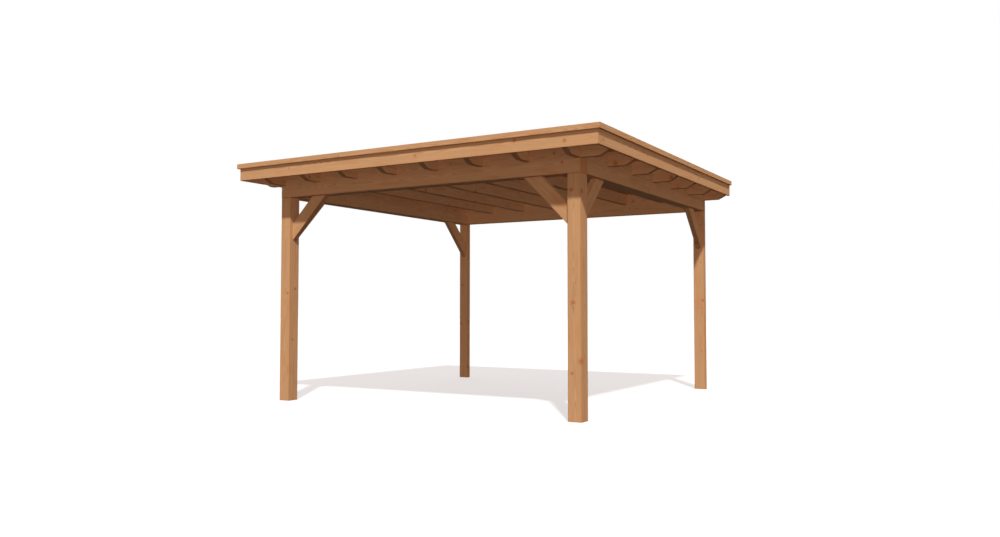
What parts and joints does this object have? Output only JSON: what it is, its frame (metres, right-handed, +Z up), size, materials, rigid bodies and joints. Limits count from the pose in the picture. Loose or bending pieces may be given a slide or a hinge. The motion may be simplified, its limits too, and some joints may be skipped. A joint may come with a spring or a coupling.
{
  "type": "wooden patio cover",
  "caption": "Flat-roofed timber patio cover that stands on posts against a wall, with knee braces, shaped rafter ends and a boarded edge.",
  "frame": {"origin": "on the ground, under the middle of the roof", "axes": "+Z up, -Y towards the open front, +Y towards the wall, +X to the right for someone who faces the wall"},
  "size_m": [4.778, 4.434, 2.855],
  "materials": {
    "frame_timber": "planed softwood, oiled a warm light brown, chamfered edges",
    "roof_timber": "planed softwood, oiled a warm light brown",
    "deck_board": "tongued and grooved softwood boarding, underside planed",
    "roofing_sheet": "matt black rubber roofing sheet",
    "edge_board": "planed softwood boards, oiled a warm light brown",
    "screw_steel": "stainless steel of the small screws"
  },
  "bodies": {
    "root": {"post_front_left": "frame_timber", "post_front_right": "frame_timber", "post_rear_left": "frame_timber", "post_rear_right": "frame_timber", "beam_front": "frame_timber", "beam_rear": "frame_timber", "beam_left": "frame_timber", "beam_right": "frame_timber", "brace_front_left": "frame_timber", "brace_front_right": "frame_timber", "brace_side_front_left": "frame_timber", "brace_side_front_right": "frame_timber", "brace_side_rear_left": "frame_timber", "brace_side_rear_right": "frame_timber", "rafter_1": "roof_timber", "rafter_2": "roof_timber", "rafter_3": "roof_timber", "rafter_4": "roof_timber", "rafter_5": "roof_timber", "rafter_6": "roof_timber", "rafter_7": "roof_timber", "rafter_8": "roof_timber", "blocking_front": "roof_timber", "blocking_rear": "roof_timber", "outriggers_left": "roof_timber", "outriggers_right": "roof_timber", "roof_deck": "deck_board", "kerb_front": "deck_board", "kerb_rear": "deck_board", "kerb_left": "deck_board", "kerb_right": "deck_board", "roof_sheet": "roofing_sheet", "fascia_front": "edge_board", "fascia_left": "edge_board", "fascia_right": "edge_board", "trim_front": "edge_board", "trim_left": "edge_board", "trim_right": "edge_board"}
  },
  "joints": []
}
